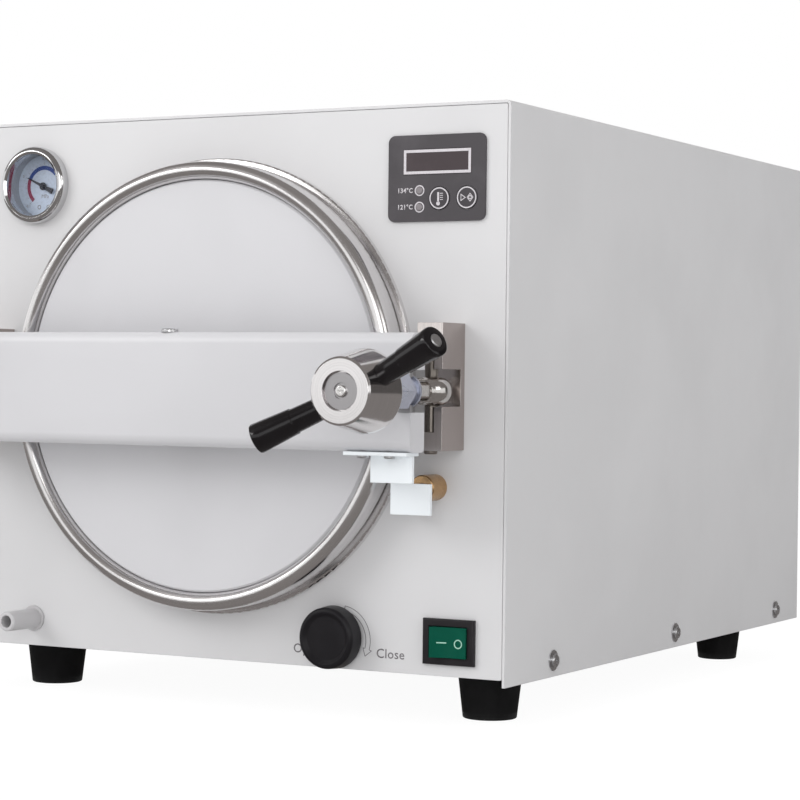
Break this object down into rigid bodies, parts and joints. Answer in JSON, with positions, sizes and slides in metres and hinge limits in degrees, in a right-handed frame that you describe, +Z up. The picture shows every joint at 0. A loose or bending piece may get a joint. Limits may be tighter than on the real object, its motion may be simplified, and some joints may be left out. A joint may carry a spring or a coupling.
{
  "type": "dental autoclave",
  "caption": "Bench-top dental autoclave: white sheet-steel housing and a round steel door on a hinged clamp bar with swing bolt and hand nut, pressure gauge, keypad and exhaust knob.",
  "frame": {"origin": "bottom centre of the whole closed autoclave, on the plane its feet stand on", "axes": "+X to the right seen from the front, +Y from the door towards the back, +Z up"},
  "size_m": [0.4454, 0.6942, 0.3784],
  "materials": {
    "housing_paint": "satin",
    "floor_steel": "satin",
    "foot_rubber": "matte",
    "screw_steel": "polished",
    "vessel_steel": "satin",
    "gasket_silicone": "satin",
    "heater_steel": "satin",
    "mineral_wool": "matte",
    "tray_steel": "satin",
    "rim_polish": "polished",
    "door_paint": "satin",
    "bar_paint": "satin",
    "bracket_steel": "polished",
    "hub_steel": "polished",
    "collar_zinc": "satin",
    "grip_plastic": "gloss",
    "interlock_plate": "satin",
    "interlock_brass": "satin",
    "gauge_chrome": "polished",
    "dial_print": "printed",
    "clear_glass": "clear",
    "pointer_paint": "matte",
    "fascia_film": "satin",
    "window_film": "gloss",
    "lamp_plastic": "gloss",
    "button_film": "satin",
    "board_resin": "satin",
    "switch_plastic": "satin",
    "rocker_plastic": "gloss",
    "knob_plastic": "satin",
    "core_iron": "matte"
  },
  "bodies": {
    "root": {"base_tray": "housing_paint", "cover_shell": "housing_paint", "front_panel": "housing_paint", "rear_panel": "housing_paint", "front_feet": "foot_rubber", "rear_feet": "foot_rubber", "foot_screws": "screw_steel", "side_screws": "screw_steel", "chamber": "vessel_steel", "chamber_flange": "rim_polish", "door_gasket": "gasket_silicone", "heater_band": "heater_steel", "insulation_jacket": "mineral_wool", "chamber_saddle": "floor_steel", "tray_rack": "tray_steel", "instrument_trays": "tray_steel", "hinge_bracket": "bracket_steel", "hinge_pin": "screw_steel", "latch_bracket": "bracket_steel", "latch_pin": "screw_steel", "interlock_catch": "interlock_plate", "interlock_gland": "interlock_brass", "gauge_case": "floor_steel", "gauge_bezel": "gauge_chrome", "gauge_dial": "dial_print", "gauge_glass": "clear_glass", "control_panel": "fascia_film", "display_window": "window_film", "lamp_lenses": "lamp_plastic", "control_board": "board_resin", "switch_bezel": "switch_plastic", "exhaust_valve": "interlock_brass", "drain_spigot": "housing_paint", "transformer": "core_iron", "thermal_cutout": "switch_plastic", "safety_valve": "interlock_brass", "steam_pipe": "vessel_steel", "mains_inlet": "switch_plastic"},
    "clamp_bar_arm": {"clamp_bar": "bar_paint", "door_pivot_pin": "screw_steel", "nut_keeper": "floor_steel", "interlock_strike": "interlock_plate", "strike_screws": "screw_steel"},
    "door": {"door_plate": "rim_polish", "door_cover": "door_paint", "door_lug": "vessel_steel"},
    "collar": {"thrust_collar": "collar_zinc"},
    "hand_nut": {"hub_nut": "hub_steel", "hub_disc": "hub_steel", "hub_screw": "screw_steel", "grip_studs": "screw_steel", "handle_grips": "grip_plastic"},
    "swing_bolt": {"eye_bolt": "hub_steel"},
    "lock_pin": {"interlock_plunger": "interlock_brass"},
    "pointer": {"gauge_pointer": "pointer_paint"},
    "temperature_key": {"temperature_button": "button_film"},
    "start_key": {"start_button": "button_film"},
    "rocker": {"power_rocker": "rocker_plastic"},
    "knob": {"exhaust_knob": "knob_plastic", "valve_spindle": "screw_steel"}
  },
  "joints": [
    {"name": "bar_swing", "type": "hinge", "parent": "root", "child": "clamp_bar_arm", "pos_m": [-0.17335, -0.2621, 0.2059], "axis": [0, 0, -1], "range_deg": [0, 105]},
    {"name": "door_float", "type": "hinge", "parent": "clamp_bar_arm", "child": "door", "pos_m": [-0.00585, -0.2621, 0.2059], "axis": [0, 0, 1], "range_deg": [-0.5, 0.5]},
    {"name": "collar_advance", "type": "slide", "parent": "clamp_bar_arm", "child": "collar", "axis": [0, 1, 0], "range_m": [0, 0.00301]},
    {"name": "hand_nut_turn", "type": "hinge", "parent": "collar", "child": "hand_nut", "pos_m": [0.16165, -0.32385, 0.2047], "axis": [0, 1, 0], "range_deg": [0, 540]},
    {"name": "bolt_swing", "type": "hinge", "parent": "root", "child": "swing_bolt", "pos_m": [0.16165, -0.23435, 0.2059], "axis": [0, 0, 1], "range_deg": [0, 105]},
    {"name": "lock_pin_slide", "type": "slide", "parent": "root", "child": "lock_pin", "axis": [0, -1, 0], "range_m": [0, 0.005], "stiffness_N_per_m": 200},
    {"name": "pointer_turn", "type": "hinge", "parent": "root", "child": "pointer", "pos_m": [-0.14735, -0.20385, 0.3369], "axis": [0, 1, 0], "range_deg": [-70, 200], "stiffness_Nm_per_rad": 0.0005},
    {"name": "temperature_press", "type": "slide", "parent": "root", "child": "temperature_key", "axis": [0, 1, 0], "range_m": [0, 0.0005], "stiffness_N_per_m": 800},
    {"name": "start_press", "type": "slide", "parent": "root", "child": "start_key", "axis": [0, 1, 0], "range_m": [0, 0.0005], "stiffness_N_per_m": 800},
    {"name": "rocker_tip", "type": "hinge", "parent": "root", "child": "rocker", "pos_m": [0.16325, -0.20485, 0.0538], "axis": [0, 0, -1], "range_deg": [0, 14]},
    {"name": "knob_turn", "type": "hinge", "parent": "root", "child": "knob", "pos_m": [0.08515, -0.21885, 0.0525], "axis": [0, -1, 0], "range_deg": [0, 270]}
  ],
  "couplings": [
    {"joint": "collar_advance", "follows": "hand_nut_turn", "m_per_rad": 0.00031831}
  ]
}
